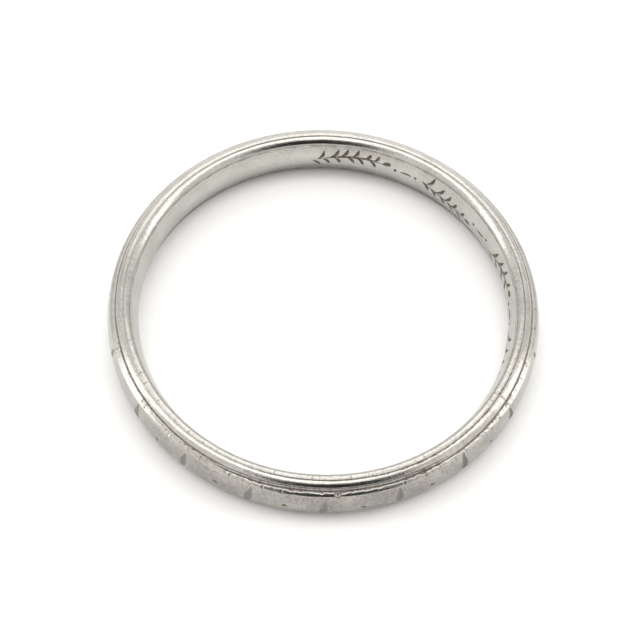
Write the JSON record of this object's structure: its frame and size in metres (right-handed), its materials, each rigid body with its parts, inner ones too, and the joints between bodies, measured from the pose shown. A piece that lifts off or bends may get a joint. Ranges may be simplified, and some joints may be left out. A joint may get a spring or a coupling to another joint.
{
  "type": "engraved wedding band",
  "caption": "Narrow plain-set finger ring of white precious metal with a crowned engraved outer face, grooved rims and a comfort-fit bore.",
  "frame": {"origin": "centre of the bore at the middle of the band's width", "axes": "+Z along the finger, square to the ring's plane; +X and +Y in the ring's plane, with the solder seam at 330.2 degrees from +X"},
  "size_m": [0.0197, 0.0196, 0.0024],
  "materials": {
    "white_metal": "worn bright polish with fine scratches, tarnish left in the cuts",
    "solder": "slightly greyer and duller than the band"
  },
  "bodies": {
    "root": {"band": "white_metal", "solder_seam": "solder"}
  },
  "joints": []
}
